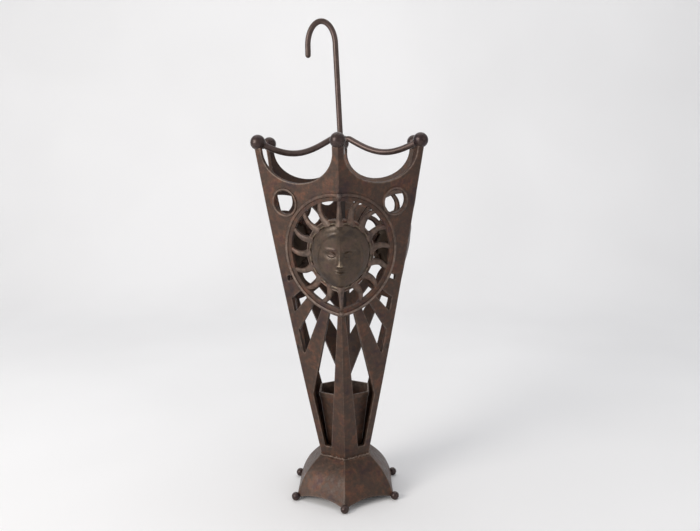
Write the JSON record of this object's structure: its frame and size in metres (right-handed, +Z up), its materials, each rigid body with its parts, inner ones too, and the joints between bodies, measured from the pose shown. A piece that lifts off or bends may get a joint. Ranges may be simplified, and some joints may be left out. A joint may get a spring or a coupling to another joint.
{
  "type": "umbrella stand",
  "caption": "Cast iron umbrella stand shaped like an upturned umbrella, with pierced sun medallions, rim balls, a hook handle and a lift-out drip cup.",
  "frame": {"origin": "On the floor under the middle of the stand, at the bottom centre of its bounding box", "axes": "+Z up along the stand's axis, -Y towards the front sun medallion, +X to the right seen from the front"},
  "size_m": [0.2832, 0.324, 0.8216],
  "materials": {
    "iron_body": "dark brown antique finish, satin, with a fine sand-cast texture",
    "iron_inner": "dark brown, dull and rough",
    "iron_face": "dark olive brown, rubbed to a soft sheen on its high places",
    "rod_steel": "smooth dark brown bar, satin",
    "fastener_steel": "dull grey steel"
  },
  "bodies": {
    "stand": {"base_dome": "iron_body", "floor_plate": "iron_inner", "base_bolt": "fastener_steel", "base_washer": "fastener_steel", "base_nut": "fastener_steel", "neck_weld": "iron_body", "foot_ball_front": "iron_body", "foot_ball_front_right": "iron_body", "foot_ball_back_right": "iron_body", "foot_ball_back": "iron_body", "foot_ball_back_left": "iron_body", "foot_ball_front_left": "iron_body", "rim_ball_front": "iron_body", "rim_ball_front_right": "iron_body", "rim_ball_back_right": "iron_body", "rim_ball_back": "iron_body", "rim_ball_back_left": "iron_body", "rim_ball_front_left": "iron_body", "sun_panel_front": "iron_body", "sun_rays_front": "iron_body", "sun_face_front": "iron_face", "ring_boss_top_front": "iron_body", "ring_boss_bottom_front": "iron_body", "sun_panel_back_right": "iron_body", "sun_rays_back_right": "iron_body", "sun_face_back_right": "iron_face", "ring_boss_top_back_right": "iron_body", "ring_boss_bottom_back_right": "iron_body", "sun_panel_back_left": "iron_body", "sun_rays_back_left": "iron_body", "sun_face_back_left": "iron_face", "ring_boss_top_back_left": "iron_body", "ring_boss_bottom_back_left": "iron_body", "seam_weld_front_right": "iron_inner", "hanger_arm_front_right": "rod_steel", "seam_weld_back": "iron_inner", "hanger_arm_back": "rod_steel", "seam_weld_front_left": "iron_inner", "hanger_arm_front_left": "rod_steel", "handle_hub": "rod_steel", "handle_rod": "rod_steel", "handle_nut": "fastener_steel"},
    "cup": {"drip_cup": "iron_inner"}
  },
  "joints": [
    {"name": "cup_lift", "type": "slide", "parent": "stand", "child": "cup", "axis": [0, 0, 1], "range_m": [0, 0.4]}
  ]
}
